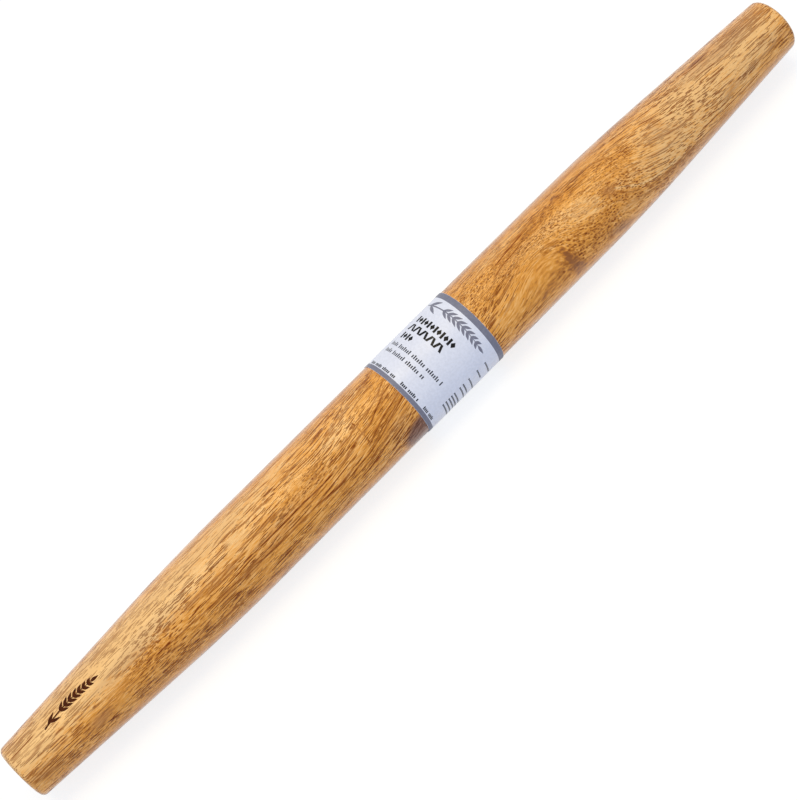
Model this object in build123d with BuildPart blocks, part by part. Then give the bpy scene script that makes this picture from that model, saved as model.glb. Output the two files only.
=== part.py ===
"""French rolling pin with its paper band.

A tapered pin is turned from one piece of hardwood. A straight barrel in the
middle runs through a long, shallow curve into a cone at each end, and the end
faces are flat with a rounded rim. A printed paper band is wrapped once round
the barrel and glued to itself where its outer end laps over its inner end. It
grips nothing, so it slides along the pin and comes off over either end.

Lengths are in millimetres. The pin's axis is X, +Z is up and the origin is on
the axis at half the pin's length. The printed front of the band faces -Y and
up, and its lap is at the back.
"""

from build123d import *
from math import acos, degrees
import os

# Pin, turned from one blank
pin_length = 457.2
barrel_diameter = 38.1
shoulder_spacing = 250.6  # between the points where barrel and cones would meet
end_diameter = 26.2  # of the cone at the end face, before the rim is rounded
shoulder_radius = 940.0  # the long curve between barrel and cone
rim_radius = 2.3

# Paper band, one turn with a lap
band_width = 45.4
band_offset = 12.3  # of the band's middle from the pin's middle, towards +X
paper_thickness = 0.2
band_clearance = 0.1  # radial, between paper and barrel
lap_length = 11.0  # of the outer end over the inner end
lap_angle = 20.0  # of the lap's outer edge, above the horizontal at the back

# Glue line in the lap
glue_thickness = 0.1
glue_length = 7.0
glue_margin = 1.5  # from the glue to each long edge of the paper


def ring_point(radius, angle):
    """The point at that radius and angle on a section of the band."""
    return Vector(radius, 0).rotate(Axis.Z, angle)


def ring_arc(radius, start, end):
    """An arc about the pin's axis from one angle to another, in degrees."""
    return CenterArc((0, 0), radius, start, end - start)


barrel_radius = barrel_diameter / 2
end_radius = end_diameter / 2
pin_half = pin_length / 2
shoulder_half = shoulder_spacing / 2

# Half of the pin's outline, from end face to end face, revolved about its axis
with BuildPart() as pin_body:
    with BuildSketch(Plane.XZ) as pin_section:
        with BuildLine() as pin_outline:
            FilletPolyline(
                (-pin_half, 0),
                (-pin_half, end_radius),
                (-shoulder_half, barrel_radius),
                (shoulder_half, barrel_radius),
                (pin_half, end_radius),
                (pin_half, 0),
                radius=[rim_radius, shoulder_radius, shoulder_radius, rim_radius],
            )
            Line((pin_half, 0), (-pin_half, 0))
        make_face()
    revolve(axis=Axis.X)
pin_body.part.label = "pin_body"

# The paper's four surfaces, from the bore outwards
bore_radius = barrel_radius + band_clearance
under_lap_radius = bore_radius + paper_thickness
over_glue_radius = under_lap_radius + glue_thickness
band_outer_radius = over_glue_radius + paper_thickness

# Where the paper climbs over its own inner end it is pulled straight, so each
# face leaves its circle on a tangent line and turns by this angle on the way
inner_climb = degrees(acos(bore_radius / over_glue_radius))
outer_climb = degrees(acos(under_lap_radius / band_outer_radius))

lap_sweep = degrees(lap_length / over_glue_radius)
lap_end = lap_angle
lap_start = lap_end - lap_sweep
wrap_start = lap_start - inner_climb
inner_end = lap_start - 360

band_left = band_offset - band_width / 2
band_right = band_offset + band_width / 2

# Section of the band, seen along X with Y to the right and Z up. The inner end
# starts at the foot of the climb, just under the lap, and goes round once
with BuildPart() as paper_band:
    with BuildSketch(Plane.YZ.offset(band_left)) as band_section:
        with BuildLine() as band_outline:
            ring_arc(bore_radius, inner_end, wrap_start)
            Line(ring_point(bore_radius, wrap_start), ring_point(over_glue_radius, lap_start))
            ring_arc(over_glue_radius, lap_start, lap_end)
            Line(ring_point(over_glue_radius, lap_end), ring_point(band_outer_radius, lap_end))
            ring_arc(band_outer_radius, wrap_start + outer_climb, lap_end)
            Line(
                ring_point(band_outer_radius, wrap_start + outer_climb),
                ring_point(under_lap_radius, wrap_start),
            )
            ring_arc(under_lap_radius, inner_end, wrap_start)
            Line(ring_point(under_lap_radius, inner_end), ring_point(bore_radius, inner_end))
        make_face()
    extrude(amount=band_width)
paper_band.part.label = "paper_band"

# The glue line fills the gap between the two ends, set back from their edges
glue_sweep = degrees(glue_length / over_glue_radius)
glue_middle = (lap_start + lap_end) / 2
glue_start = glue_middle - glue_sweep / 2
glue_end = glue_middle + glue_sweep / 2

with BuildPart() as lap_glue:
    with BuildSketch(Plane.YZ.offset(band_left + glue_margin)) as glue_section:
        with BuildLine() as glue_outline:
            ring_arc(under_lap_radius, glue_start, glue_end)
            Line(ring_point(under_lap_radius, glue_end), ring_point(over_glue_radius, glue_end))
            ring_arc(over_glue_radius, glue_start, glue_end)
            Line(ring_point(over_glue_radius, glue_start), ring_point(under_lap_radius, glue_start))
        make_face()
    extrude(amount=band_width - 2 * glue_margin)
lap_glue.part.label = "lap_glue"

os.makedirs("parts", exist_ok=True)
export_step(pin_body.part, "parts/pin_body.step")
export_step(paper_band.part, "parts/paper_band.step")
export_step(lap_glue.part, "parts/lap_glue.step")

print("band from", round(band_left, 3), "to", round(band_right, 3), "mm along X")
print("band leaves the -X end at a slide of", round(-pin_half - band_right, 3), "mm")
print("band leaves the +X end at a slide of", round(pin_half - band_left, 3), "mm")
print("lowest point at", round(-under_lap_radius, 3), "mm")
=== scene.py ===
"""French rolling pin with a paper band: the looks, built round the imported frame.

The file is laid out as an add-on and is run as a script. The sizes and colours are properties, each piece
has an operator, and a panel in the 3D view's sidebar lists the operators in their order.

Lengths are metres in the frame of the CAD model: the pin lies along X, +Z is up, and the origin is on the
pin's axis at half its length. A place on the surface is given by x and by its turn, the angle round the pin
from the middle of the band's printed front. The front faces -Y and up, and a positive turn goes over the top
towards the back.
"""

import math
from typing import NamedTuple

import bpy
import numpy as np
from mathutils import Matrix, Vector


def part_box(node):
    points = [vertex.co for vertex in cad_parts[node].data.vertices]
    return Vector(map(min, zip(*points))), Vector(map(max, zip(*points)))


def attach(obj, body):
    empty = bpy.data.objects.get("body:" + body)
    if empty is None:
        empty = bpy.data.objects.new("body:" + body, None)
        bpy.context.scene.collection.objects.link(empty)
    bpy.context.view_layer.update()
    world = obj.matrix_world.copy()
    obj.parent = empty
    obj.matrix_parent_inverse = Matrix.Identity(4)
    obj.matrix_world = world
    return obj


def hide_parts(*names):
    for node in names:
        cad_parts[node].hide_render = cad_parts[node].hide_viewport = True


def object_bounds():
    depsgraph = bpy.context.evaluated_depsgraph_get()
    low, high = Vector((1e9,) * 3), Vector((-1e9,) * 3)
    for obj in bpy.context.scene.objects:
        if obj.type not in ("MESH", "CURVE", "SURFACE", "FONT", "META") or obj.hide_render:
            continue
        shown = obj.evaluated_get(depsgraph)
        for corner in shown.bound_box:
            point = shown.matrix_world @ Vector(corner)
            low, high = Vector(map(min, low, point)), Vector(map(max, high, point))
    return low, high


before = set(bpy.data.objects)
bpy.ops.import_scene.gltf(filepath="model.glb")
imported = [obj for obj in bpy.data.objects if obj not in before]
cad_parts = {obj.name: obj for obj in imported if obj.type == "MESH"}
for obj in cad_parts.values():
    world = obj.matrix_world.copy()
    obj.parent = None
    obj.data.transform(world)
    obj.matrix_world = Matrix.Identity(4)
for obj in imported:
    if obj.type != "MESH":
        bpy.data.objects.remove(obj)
cad_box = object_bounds()

bl_info = {
    "name": "French Rolling Pin",
    "version": (1, 0, 0),
    "blender": (4, 5, 0),
    "location": "3D View > Sidebar > Rolling Pin",
    "description": "Makes a tapered wooden rolling pin with a printed paper band",
    "category": "Add Mesh",
}

MM = 0.001
pin_low, pin_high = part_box("pin_body")
band_low, band_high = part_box("paper_band")


def length(name, description, default):
    """A property that holds a length in metres."""
    return bpy.props.FloatProperty(
        name=name, description=description, default=default, unit="LENGTH", precision=5
    )


def angle(name, description, degrees):
    """A property that holds an angle."""
    return bpy.props.FloatProperty(
        name=name, description=description, default=math.radians(degrees), unit="ROTATION"
    )


def colour(name, description, default):
    """A property that holds a colour, as linear red, green and blue."""
    return bpy.props.FloatVectorProperty(
        name=name, description=description, default=default, size=3, subtype="COLOR", min=0, max=1
    )


def number(name, description, default, top=1):
    """A property that holds a plain number, from 0 to a top."""
    return bpy.props.FloatProperty(name=name, description=description, default=default, min=0, max=top)


class PinSizes(bpy.types.PropertyGroup):
    """Sizes of the turned pin."""

    length: length("Length", "From end face to end face", pin_high.x - pin_low.x)
    barrel_diameter: length("Barrel diameter", "Across the straight middle", pin_high.z - pin_low.z)
    shoulder_spacing: length("Shoulder spacing", "Between where barrel and cones would meet", 0.2506)
    end_diameter: length("End diameter", "Of the cone at the end face, before the rim is rounded", 0.0262)
    shoulder_radius: length("Shoulder radius", "Of the long curve between barrel and cone", 0.94)
    rim_radius: length("Rim radius", "Of the rounded rim of each end face", 0.0023)


class WoodFinish(bpy.types.PropertyGroup):
    """Colours and surface of the oiled wood."""

    cream: colour("Cream", "Brightest threads", (1.0, 0.60, 0.235))
    pale: colour("Pale wood", "Lightest bands between the pores", (0.98, 0.50, 0.14))
    honey: colour("Honey", "Ordinary wood", (0.84, 0.355, 0.044))
    amber: colour("Amber", "Deeper bands", (0.60, 0.215, 0.017))
    brown: colour("Brown", "Darkest bands", (0.32, 0.098, 0.007))
    pore: colour("Pore", "Tint that multiplies the wood in pores and lines", (0.27, 0.095, 0.004))
    blush: colour("Blush", "Reddish patches", (0.28, 0.12, 0.07))
    scorch: colour("Scorch", "Burned sprig", (0.058, 0.0125, 0.002))
    roughness: number("Roughness", "Of the oiled surface between the pores", 0.46)
    oil: number("Oil", "How much of the surface between the pores shines with oil", 1)
    pore_depth: length("Pore depth", "How deep the open pores look", 0.00012)


class BandSizes(bpy.types.PropertyGroup):
    """Sizes of the paper band."""

    paper_thickness: length("Paper thickness", "Of one layer, with its ink", 0.0002)
    clearance: length("Clearance", "Between paper and barrel", 0.0001)
    glue_thickness: length("Glue thickness", "Between the two ends of the paper", 0.0001)
    lap_length: length("Lap length", "Of the outer end over the inner end", 0.011)
    lap_angle: angle("Lap angle", "Of the lap's outer edge, above the horizontal at the back", 20)
    front_angle: angle("Front angle", "Of the middle of the print, above the horizontal at the front", 50)
    ink_height: length("Ink height", "Of the print above the paper", 0.000012)
    ripple: length("Ripple", "Depth of the slight waves in the wrapped paper", 0.00004)


class PrintColours(bpy.types.PropertyGroup):
    """Colours of the paper and its print."""

    paper: colour("Paper", "Coated paper", (0.80, 0.83, 0.965))
    slate: colour("Slate", "Borders and sprig", (0.225, 0.23, 0.305))
    black: colour("Black", "Bold rows", (0.004, 0.004, 0.006))
    small: colour("Small print", "Fine rows and ticks", (0.03, 0.034, 0.05))


class StageSettings(bpy.types.PropertyGroup):
    """Camera, lights and floor."""

    camera_x: length("Camera x", "Along the pin", -0.145554)
    camera_distance: length("Camera distance", "From the pin's axis", 0.838784)
    camera_yaw: angle("Yaw", "Turn of the camera along the pin", -9.1855)
    camera_pitch: angle("Pitch", "Turn of the camera across the pin", -0.0449)
    camera_roll: angle("Roll", "Turn of the camera about its own line of sight", -44.9248)
    lens: number("Lens", "Focal length in mm on a 36 mm sensor", 90.24, 1000)
    key_energy: number("Key light", "Power in watts", 9.2, 1000)
    key_colour: colour("Key colour", "Of the large lamp", (1.0, 0.80, 0.40))
    key_turn: angle("Key turn", "Place of the lamp round the pin, from the printed front", 42)
    sky_strength: number("Sky strength", "Of the light from all round", 0.74, 2)
    sky_colour: colour("Sky colour", "Of the light from all round", (0.668, 0.785, 1.0))


def settings(name):
    """One of the property groups of the scene."""
    return getattr(bpy.context.scene, "rolling_pin_" + name)


# Meshes


def grid_faces(rows, columns, wrap=False):
    """Quads of a grid whose point (row, column) has the number row * columns + column."""
    across = columns if wrap else columns - 1
    row, column = np.meshgrid(np.arange(rows - 1), np.arange(across), indexing="ij")
    after = (column + 1) % columns
    here = row * columns
    above = here + columns
    return np.stack([here + column, here + after, above + after, above + column], axis=-1).reshape(-1, 4)


def make_object(name, points, faces):
    """A mesh object at the origin, from an array of points and a list of arrays of faces.

    It is shaded smooth, apart from edges where faces meet at a corner.
    """
    corner = math.radians(40)
    mesh = bpy.data.meshes.new(name)
    every_face = [face for group in faces for face in group.tolist()]
    mesh.from_pydata(points.reshape(-1, 3).tolist(), [], every_face)
    mesh.validate()
    mesh.shade_smooth()
    mesh.set_sharp_from_angle(angle=corner)
    return show(name, mesh)


def show(name, data):
    """A new object of the scene, from a mesh, lamp or camera."""
    made = bpy.data.objects.new(name, data)
    bpy.context.scene.collection.objects.link(made)
    return made


def add_attribute(made, name, values):
    """Stores a number or a vector for each point of the mesh."""
    vector = values.ndim == 2
    layer = made.data.attributes.new(name, "FLOAT_VECTOR" if vector else "FLOAT", "POINT")
    layer.data.foreach_set("vector" if vector else "value", values.astype(np.float32).ravel())


def on_surface(x, turn, radius):
    """Points at x along the pin, at a turn from the printed front and at a radius from the axis."""
    around = turn + settings("band").front_angle
    places = np.broadcast_arrays(x, -radius * np.cos(around), radius * np.sin(around))
    return np.stack(places, axis=-1)


# The turned pin


def cone_slope():
    """How much a cone's radius falls for each step along it."""
    size = settings("pin")
    return (size.barrel_diameter - size.end_diameter) / (size.length - size.shoulder_spacing)


def pin_radius(x):
    """Radius of the pin at x, without its rims.

    It is the barrel's radius in the middle, the arc of the shoulder radius that touches barrel and cone, and
    then the straight line of the cone.
    """
    size = settings("pin")
    barrel, corner, slope = size.barrel_diameter / 2, size.shoulder_spacing / 2, cone_slope()
    tilt = math.atan(slope)
    reach = size.shoulder_radius * math.tan(tilt / 2)
    from_middle = np.abs(x)
    past = np.clip(from_middle - (corner - reach), 0, None)
    arc = barrel - size.shoulder_radius + np.sqrt(np.clip(size.shoulder_radius**2 - past**2, 0, None))
    cone = barrel - slope * (from_middle - corner)
    return np.where(from_middle < corner + reach * math.cos(tilt), arc, cone)


def pin_meridian():
    """Stations from the middle of the -X end face to the middle of the +X end face.

    Half of it is rings across the flat face, the quarter turn of the rim, and even steps along the cone and
    the barrel to the middle; the other half is its mirror image. It returns x, the radius, and how far each
    station is from the axis as a share of the rim's outer edge, at most one.
    """
    size = settings("pin")
    face_rings, rim_steps, side_step = 9, 8, 0.74 * MM
    tilt = math.atan(cone_slope())
    rim_x = size.length / 2 - size.rim_radius
    rim_centre = pin_radius(np.array(rim_x)) - size.rim_radius / math.cos(tilt)
    bend = np.linspace(math.pi / 2, tilt, rim_steps + 1)
    rim_along = rim_x + size.rim_radius * np.sin(bend)
    rim_out = rim_centre + size.rim_radius * np.cos(bend)
    face_out = np.linspace(0, rim_centre, face_rings + 1)[:-1]
    steps = int(round(rim_along[-1] / side_step))
    side_along = np.linspace(rim_along[-1], 0, steps + 1)[1:]
    along = np.concatenate([np.full(face_rings, size.length / 2), rim_along, side_along])
    out = np.concatenate([face_out, rim_out, pin_radius(side_along)])
    inward = np.clip(out / rim_out[-1], None, 1.0)
    return (
        np.concatenate([-along, along[-2::-1]]),
        np.concatenate([out, out[-2::-1]]),
        np.concatenate([inward, inward[-2::-1]]),
    )


# Where the grain leaves its straight line: a long swell across the middle of the pin, in mm and degrees, and
# bumps, each with its place in mm and degrees, half length in mm, half width in degrees and rise in mm
SWELL_RISE, SWELL_WIDTH = 22.0, 84.0
SWELL_START, SWELL_START_LENGTH = -5.0, 55.0
SWELL_END, SWELL_END_LENGTH = 140.0, 35.0
GRAIN_BUMPS = (
    (-53, 24, 12, 18, -1.5),
    (-150, 28, 36, 24, 1.2),
    (-152, -22, 34, 24, -1.0),
    (70, 4, 22, 30, 5.0),
    (99, -12, 13, 30, -1.4),
    (-20, 150, 40, 40, 6.0),
    (90, -140, 50, 45, -5.0),
    (-120, -150, 60, 40, 4.0),
)

# Where the grain dives under the surface, which cuts its pores short, in the same terms, with its depth in mm
# instead of the rise
GRAIN_DIVES = (
    (-62, 10, 20, 30, 1.6),
    (-22, 26, 20, 30, 3.0),
    (-168, -6, 22, 34, 2.0),
    (-206, -20, 20, 40, 1.0),
    (48, 26, 16, 30, 3.4),
    (98, -36, 16, 34, 2.4),
    (104, 22, 18, 34, 4.2),
    (132, 26, 16, 30, 3.0),
    (178, -4, 24, 50, 1.8),
    (-40, 170, 40, 60, 5.0),
    (70, 130, 36, 50, 4.5),
    (-130, -120, 40, 60, 4.5),
    (150, -110, 34, 50, 4.0),
    (20, -110, 30, 50, 4.0),
)

# Where the pores are short dots, in the same terms, with the dots' share of the pores
FINE_PORES = (
    (46, 30, 15, 24, 0.8),
    (84, 20, 24, 20, 0.9),
    (100, -30, 26, 34, 1.0),
    (123, -26, 10, 24, 0.7),
    (124, 24, 13, 30, 0.7),
    (-66, 8, 12, 18, 0.8),
    (-168, -8, 18, 16, 0.5),
    (-16, 20, 9, 22, 0.5),
    (-90, 160, 30, 40, 0.9),
    (192, 0, 38, 50, 0.2),
    (150, -130, 26, 40, 0.9),
)

# The middle of the tree's rings, as a place on the pin's section, how far apart the rings are, and how far
# they stay the same along the pin, all in mm
PITH_Y, PITH_Z = 34, -46
RING_GAP, RING_LENGTH = 3.6, 170


class Patch(NamedTuple):
    """A patch where the wood's own tone differs, or where light and shade are painted on it.

    Its place is x in mm and turn in degrees, its half length along the pin and half width round it are in mm,
    and its slant is in degrees. Light, red and calm say how much lighter, redder and freer of pores the wood
    is there, and edge how sharply the patch ends.
    """

    x: float
    turn: float
    half_length: float
    half_width: float
    slant: float = 0
    light: float = 0
    red: float = 0
    calm: float = 0
    edge: float = 1.5


WOOD_PATCHES = (
    Patch(68, -19, 13, 7.5, slant=4, light=-0.07, calm=0.95, edge=2),
    Patch(48, -26, 10, 5, slant=4, light=-0.05, calm=0.7),
    Patch(68, -44, 12, 3, light=-0.14, calm=0.7),
    Patch(69.3, -17, 1.3, 0.8, slant=-30, light=-0.14, calm=0.9),
    Patch(81.8, -20, 1.8, 4, slant=6, light=-0.28, calm=0.9, edge=1.4),
    Patch(82.6, -36, 3.2, 4.8, slant=8, light=-0.37, calm=0.9, edge=1.3),
    Patch(84.3, -55, 3.4, 4.2, slant=12, light=-0.24, red=0.25, calm=0.9, edge=2),
    Patch(98, 5, 15, 5.5, slant=-12, light=0.12),
    Patch(97, -24, 14, 8, calm=0.2),
    Patch(114.6, -3, 3.6, 2.6, slant=-24, light=-0.22, red=0.3, calm=0.5),
    Patch(121, -27, 8, 5, slant=-32, light=-0.05, red=0.1),
    Patch(152, -54, 24, 3, slant=-7, light=-0.08, red=0.24, calm=0.3),
    Patch(-8, -61, 14.5, 8.6, light=-0.34, red=0.95, calm=0.3, edge=6),
    Patch(-177, -9, 9, 2.4, light=0.03, calm=0.7),
    Patch(-69, 14, 4, 2.4, light=0.03, calm=0.7),
    Patch(118, -38, 6, 3, slant=-20, light=0.08, calm=0.6),
    Patch(-12, -47, 6, 1.2, slant=50, light=-0.1, red=0.3),
    Patch(4, -61, 9, 10, light=0.24, red=-0.65),
    Patch(-101, 20, 5.4, 2.4, slant=-20, light=0.12, red=0.1, calm=1, edge=2),
    Patch(-98, -3, 3, 1.8, light=0.02, calm=1),
    Patch(-192, -12, 3.4, 2.2, light=-0.05, calm=1),
    Patch(-190, -28, 6, 2.6, light=-0.1, red=0.35, calm=0.9),
    Patch(-120, 24, 4, 2, light=0.12, calm=0.8),
    Patch(-112, 30, 34, 9, light=0.15, red=0.1),
    # Painted light: these three make the upper side of the -X half paler, as if more lit by the lamp; they
    # also calm its pores.
    Patch(-185, 31, 54, 9.5, light=0.38, red=0.03, calm=0.42, edge=2),
    Patch(-140, 51, 86, 6, light=0.24, red=0.04, calm=0.42, edge=2),
    Patch(-150, 17, 26, 5, light=0.16, calm=0.2),
    Patch(-218, 22, 11, 4, light=0.32, red=0.02, calm=0.6),
    Patch(-210, -20, 9, 4, light=0.1),
    Patch(-98, -6, 20, 4, light=0.08),
    Patch(-36, 30, 16, 4.6, slant=20, light=0.22, calm=0.2),
    Patch(-20, -30, 9, 5, slant=20, light=0.1, red=0.2),
    # Painted shade: darkens the lower front side of the -X end, away from the lamp.
    Patch(-176, -40, 60, 7, light=-0.08, red=0.05, edge=2),
    Patch(-224, 8, 12, 14, light=0.14, red=0.05, calm=0.2),
    # Painted shade: a long band along the lower front side, away from the lamp.
    Patch(-90, -28, 80, 8, light=-0.1),
    Patch(178, 4, 46, 15, light=0.24, red=0.08, calm=0.05, edge=2),
    Patch(58, 27, 18, 4.5, slant=6, light=-0.1),
    Patch(86, 38, 16, 4.5, slant=3, light=-0.18),
    Patch(105, 37, 13, 5, slant=-8, light=-0.14),
    Patch(121, 22, 8, 5, slant=-32, light=-0.1),
    Patch(131, 20, 5, 4, slant=-10, light=-0.14),
    Patch(62, 50, 14, 3, slant=3, light=0.14),
    # Painted shade: darkens the lower front side of the +X half, away from the lamp.
    Patch(94, -34, 26, 8, light=-0.19),
    Patch(48, -44, 18, 5, light=-0.1),
    # Painted shade: these six strips darken both long sides, about 70 degrees round from the front, and hide
    # their pores, standing in for the grey veil of grazing light there.
    Patch(-150, -69, 64, 4.5, light=-0.12, calm=0.7),
    Patch(-46, -71, 48, 4.5, light=-0.1, calm=0.7),
    Patch(84, -68, 52, 5.5, light=-0.1, calm=0.8),
    Patch(190, -66, 44, 4.5, light=-0.12, calm=0.7),
    Patch(-60, 72, 110, 4.5, light=-0.08, calm=0.6),
    Patch(90, 68, 56, 4.5, light=-0.1, calm=0.6),
    Patch(-216, -36, 12, 5, light=-0.06, red=0.08),
    Patch(-160, -13, 16, 4, light=-0.06),
    Patch(-24, 34, 16, 9, slant=20, light=-0.06, red=-0.25),
    Patch(-22, 0, 16, 5, slant=22, light=-0.14),
    Patch(54, 12, 18, 6, slant=8, light=-0.1),
    Patch(150, 2, 12, 4, slant=-24, light=0.06, red=0.16, calm=0.5),
    Patch(102, 4, 8, 4, slant=-14, light=0.1, calm=0.4),
    Patch(194, 32, 26, 3.4, slant=-3, light=0.12, red=0.25, calm=0.5),
    Patch(168, 13, 18, 5, slant=-16, light=0.16),
    Patch(144, -26, 18, 6, slant=-14, light=0.14),
    Patch(208, 2, 14, 7, light=0.14),
    Patch(150, 17, 5, 3, slant=-30, light=-0.05, red=0.1),
    Patch(186, 51, 9, 1.3, slant=-2, light=-0.3, red=0.25, edge=2),
    Patch(212, 46, 8, 1.4, slant=-2, red=0.15, calm=0.3, edge=2),
    Patch(196, 52, 36, 4, slant=-2, light=0.06, red=0.16),
    Patch(187, -28, 5, 2.2, light=-0.08, red=0.1, calm=0.8),
    Patch(110, -56, 7, 3, slant=-20, light=-0.1, red=0.5, calm=0.4),
    Patch(-64, 120, 34, 5, slant=3, light=-0.09, red=0.14, edge=1),
    Patch(70, 168, 30, 7, slant=-4, light=0.12, calm=0.3, edge=1),
    Patch(-150, -110, 34, 5, slant=3, light=-0.09, red=0.12, edge=1),
    Patch(132, -125, 28, 4.5, slant=4, light=-0.1, red=0.16, edge=1),
)

# Long lines of the grain: how dark, or below zero how pale, then places in mm and degrees
GRAIN_LINES = (
    (0.9, (-228, 32), (-212, 33)),
    (0.7, (-228, 53), (-215, 54), (-209, 57)),
    (0.65, (-228, 46), (-212, 46)),
    (0.7, (-200, 45), (-193, 47), (-186, 50)),
    (0.55, (-224, 9), (-213, 9)),
    (0.6, (-218, 14), (-208, 13)),
    (0.5, (-226, -18), (-212, -19)),
    (0.55, (-228, -22), (-218, -22)),
    (0.5, (-228, -31), (-214, -32)),
    (0.45, (-206, -17), (-196, -17)),
    (0.55, (-178, 49), (-168, 48), (-158, 50)),
    (0.45, (-176, 52), (-166, 54), (-150, 57), (-137, 60)),
    (0.7, (-228, -12), (-221, -11)),
    (0.7, (-214, -11), (-203, -12)),
    (0.6, (-228, -27), (-216, -28)),
    (0.65, (-225, -35), (-211, -37)),
    (0.85, (-209, 6), (-201, 6)),
    (0.95, (-196, 0), (-192, -1)),
    (0.45, (-172, 1), (-160, 1), (-140, 1)),
    (0.95, (-158, -16), (-147, -15)),
    (0.75, (-152, -17), (-137, -18), (-128, -19), (-119, -20), (-103, -21), (-97, -24)),
    (0.8, (-97, -24), (-87, -25), (-78, -24), (-68, -24), (-56, -26), (-46, -24)),
    (0.8, (-78, -27), (-68, -26), (-60, -27), (-50, -28)),
    (0.5, (-161, -50), (-153, -48), (-145, -45)),
    (0.7, (-138, -46), (-125, -47), (-113, -49), (-105, -53)),
    (0.55, (-118, 19), (-110, 20), (-105, 17)),
    (0.5, (-111, 32), (-106, 36), (-100, 38), (-94, 38)),
    (0.75, (-99, 27), (-92, 26), (-85, 26), (-78, 25)),
    (0.5, (-94, 15), (-90, 13), (-85, 15)),
    (0.6, (-102, 8), (-97, 6), (-93, 4), (-85, 5), (-77, 4)),
    (0.7, (-105, 5), (-100, 4)),
    (0.5, (-137, -1), (-127, -1), (-116, -2), (-107, -5)),
    (0.55, (-137, 4), (-125, 2), (-113, 1), (-101, -2)),
    (0.7, (-127, -6), (-117, -7), (-110, -8)),
    (0.95, (-98, -10), (-83, -10), (-70, -9), (-60, -10), (-52, -9)),
    (0.6, (-52, -9), (-44, -7), (-36, -3)),
    (0.7, (-88, 49), (-80, 48), (-73, 46)),
    (0.7, (-69, 39), (-64, 33)),
    (0.6, (-72, 34), (-66, 30)),
    (0.7, (-60, 48), (-55, 48)),
    (0.8, (-46, 29), (-39, 28)),
    (0.55, (-47, 33), (-40, 34), (-34, 39), (-26, 42), (-16, 48)),
    (0.7, (-46, 7), (-38, 9), (-34, 13), (-25, 15), (-18, 21), (-10, 33)),
    (0.8, (-46, -6), (-36, 0), (-28, 2), (-23, 9), (-15, 18), (-9, 21)),
    (0.75, (-36, -18), (-30, -11), (-22, -3), (-16, 1), (-9, 7)),
    (0.8, (-46, -27), (-36, -24), (-27, -18), (-20, -10), (-9, -1)),
    (0.45, (-44, -33), (-35, -31), (-26, -26), (-18, -20), (-9, -14)),
    (0.5, (-25, -31), (-14, -22)),
    (0.8, (36, -15), (41, -12), (45, -11)),
    (0.55, (45, -3), (50, 0), (57, 4)),
    (0.95, (56, 33), (62, 36), (68, 38), (77, 40)),
    (0.8, (52, 22), (58, 26), (64, 28), (72, 30)),
    (0.45, (50, 41), (60, 41), (72, 43), (86, 44)),
    (0.5, (76, 30), (86, 31)),
    (0.55, (56, 48), (65, 48)),
    (0.55, (80, 50), (86, 51)),
    (0.45, (76, 5), (80, 3), (83, -1), (84, -6)),
    (0.4, (90, 14), (96, 5), (99, -2)),
    (0.4, (105, 59), (112, 61), (118, 64)),
    (0.65, (119, 40), (125, 32)),
    (0.4, (117, 56), (123, 54)),
    (0.7, (142, 8), (148, 0), (153, -6), (158, -9), (165, -12), (172, -12)),
    (0.6, (136, -6), (141, -12), (147, -17), (158, -17)),
    (0.85, (145, 36), (151, 29), (154, 26)),
    (0.65, (148, 25), (153, 21)),
    (0.5, (158, 32), (164, 24), (170, 16)),
    (0.85, (178, 28), (184, 26), (192, 22)),
    (0.55, (190, 19), (196, 17), (202, 14)),
    (0.65, (199, 20), (207, 20), (215, 18), (224, 16)),
    (0.85, (176, 50), (182, 45), (192, 42)),
    (0.6, (196, 42), (208, 40), (226, 39)),
    (0.65, (191, 39), (200, 35), (212, 34), (226, 33)),
    (0.6, (192, 57), (208, 55), (226, 53)),
    (0.55, (196, 50), (208, 48), (226, 46)),
    (0.45, (206, 27), (226, 25)),
    (-2.3, (117, -5), (121, -13), (124, -20), (129, -29), (134, -35), (141, -39), (150, -42)),
    (0.6, (116, -9), (119, -18), (123, -27), (127, -34)),
    (-0.6, (83, -6), (83.6, -12), (84.6, -19)),
    (0.65, (128, -40), (136, -43), (145, -46), (157, -50), (168, -53), (182, -57)),
    (0.6, (140, -47), (150, -52), (160, -54)),
    (0.5, (-21, -60), (-18, -52), (-13, -43)),
    (0.5, (-17, -62), (-14, -54), (-10, -48)),
    (0.95, (180, 3), (187, 4)),
    (0.9, (163, 12), (167, 9)),
    (0.8, (198, 4), (203, 3)),
    (0.8, (209, -9), (216, -9)),
    (0.55, (198, -23), (205, -23)),
    (0.75, (186, -18), (193, -18)),
    (0.75, (175, -22), (180, -23)),
    (0.7, (211, -31), (218, -31)),
    (0.45, (204, -28), (216, -27), (228, -27)),
    (0.95, (-33.7, 21), (-33.4, 12)),
    (0.45, (-33.4, 12), (-33.6, -8)),
    (0.9, (-33.6, -8), (-33.9, -18)),
    (0.7, (-170, 112), (-140, 116), (-96, 113)),
    (0.65, (-30, 96), (10, 108), (60, 118), (92, 116)),
    (0.7, (-200, 168), (-150, 172), (-110, 166)),
    (0.65, (20, 160), (70, 150), (120, 156)),
    (0.65, (-90, -96), (-50, -100), (0, -92)),
    (0.7, (60, -100), (110, -92), (170, -98)),
    (0.65, (-180, -134), (-120, -128), (-60, -137)),
    (0.6, (40, -150), (90, -140), (150, -148)),
)

# What the wood's material reads from the mesh, beside the grain itself
WOOD_ATTRIBUTES = ("patch_tone_and_painted_shading", "patch_red", "patch_calm", "fine_pores", "line_gap", "line_dark")

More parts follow.
